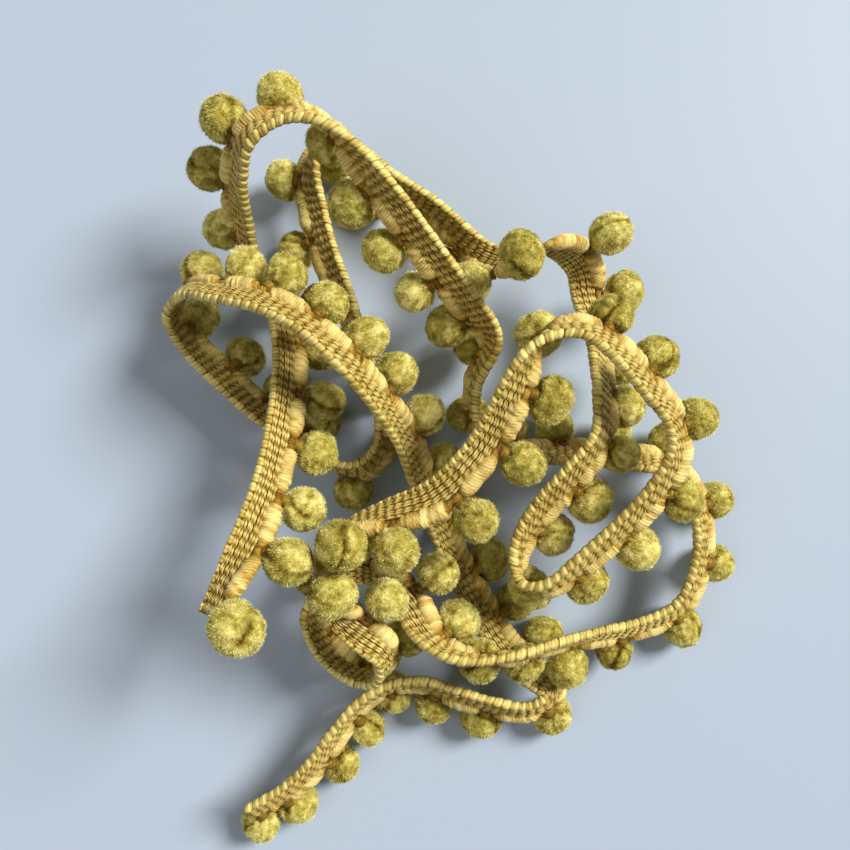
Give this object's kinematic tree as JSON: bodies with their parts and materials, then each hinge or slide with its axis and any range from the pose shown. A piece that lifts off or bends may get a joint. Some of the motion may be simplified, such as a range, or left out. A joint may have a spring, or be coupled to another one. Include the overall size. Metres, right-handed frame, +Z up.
{
  "type": "pompom fringe trim",
  "caption": "Narrow braided trim with a gimp cord and small yarn pompoms along one edge, lying as one loose tangled length.",
  "frame": {"origin": "middle of the heap's footprint, on the surface it lies on", "axes": "+Z up from the surface, +Y away from the two cut ends' side towards the tall back arch, the long way of the heap; +X to the right"},
  "size_m": [0.1084, 0.1402, 0.0508],
  "materials": {
    "heading_braid": "satin golden yarn, braided",
    "pompom_fringe": "cut yarn pile, matte and fuzzy"
  },
  "bodies": {
    "root": {"heading_braid": "heading_braid", "pompom_fringe": "pompom_fringe"}
  },
  "joints": []
}
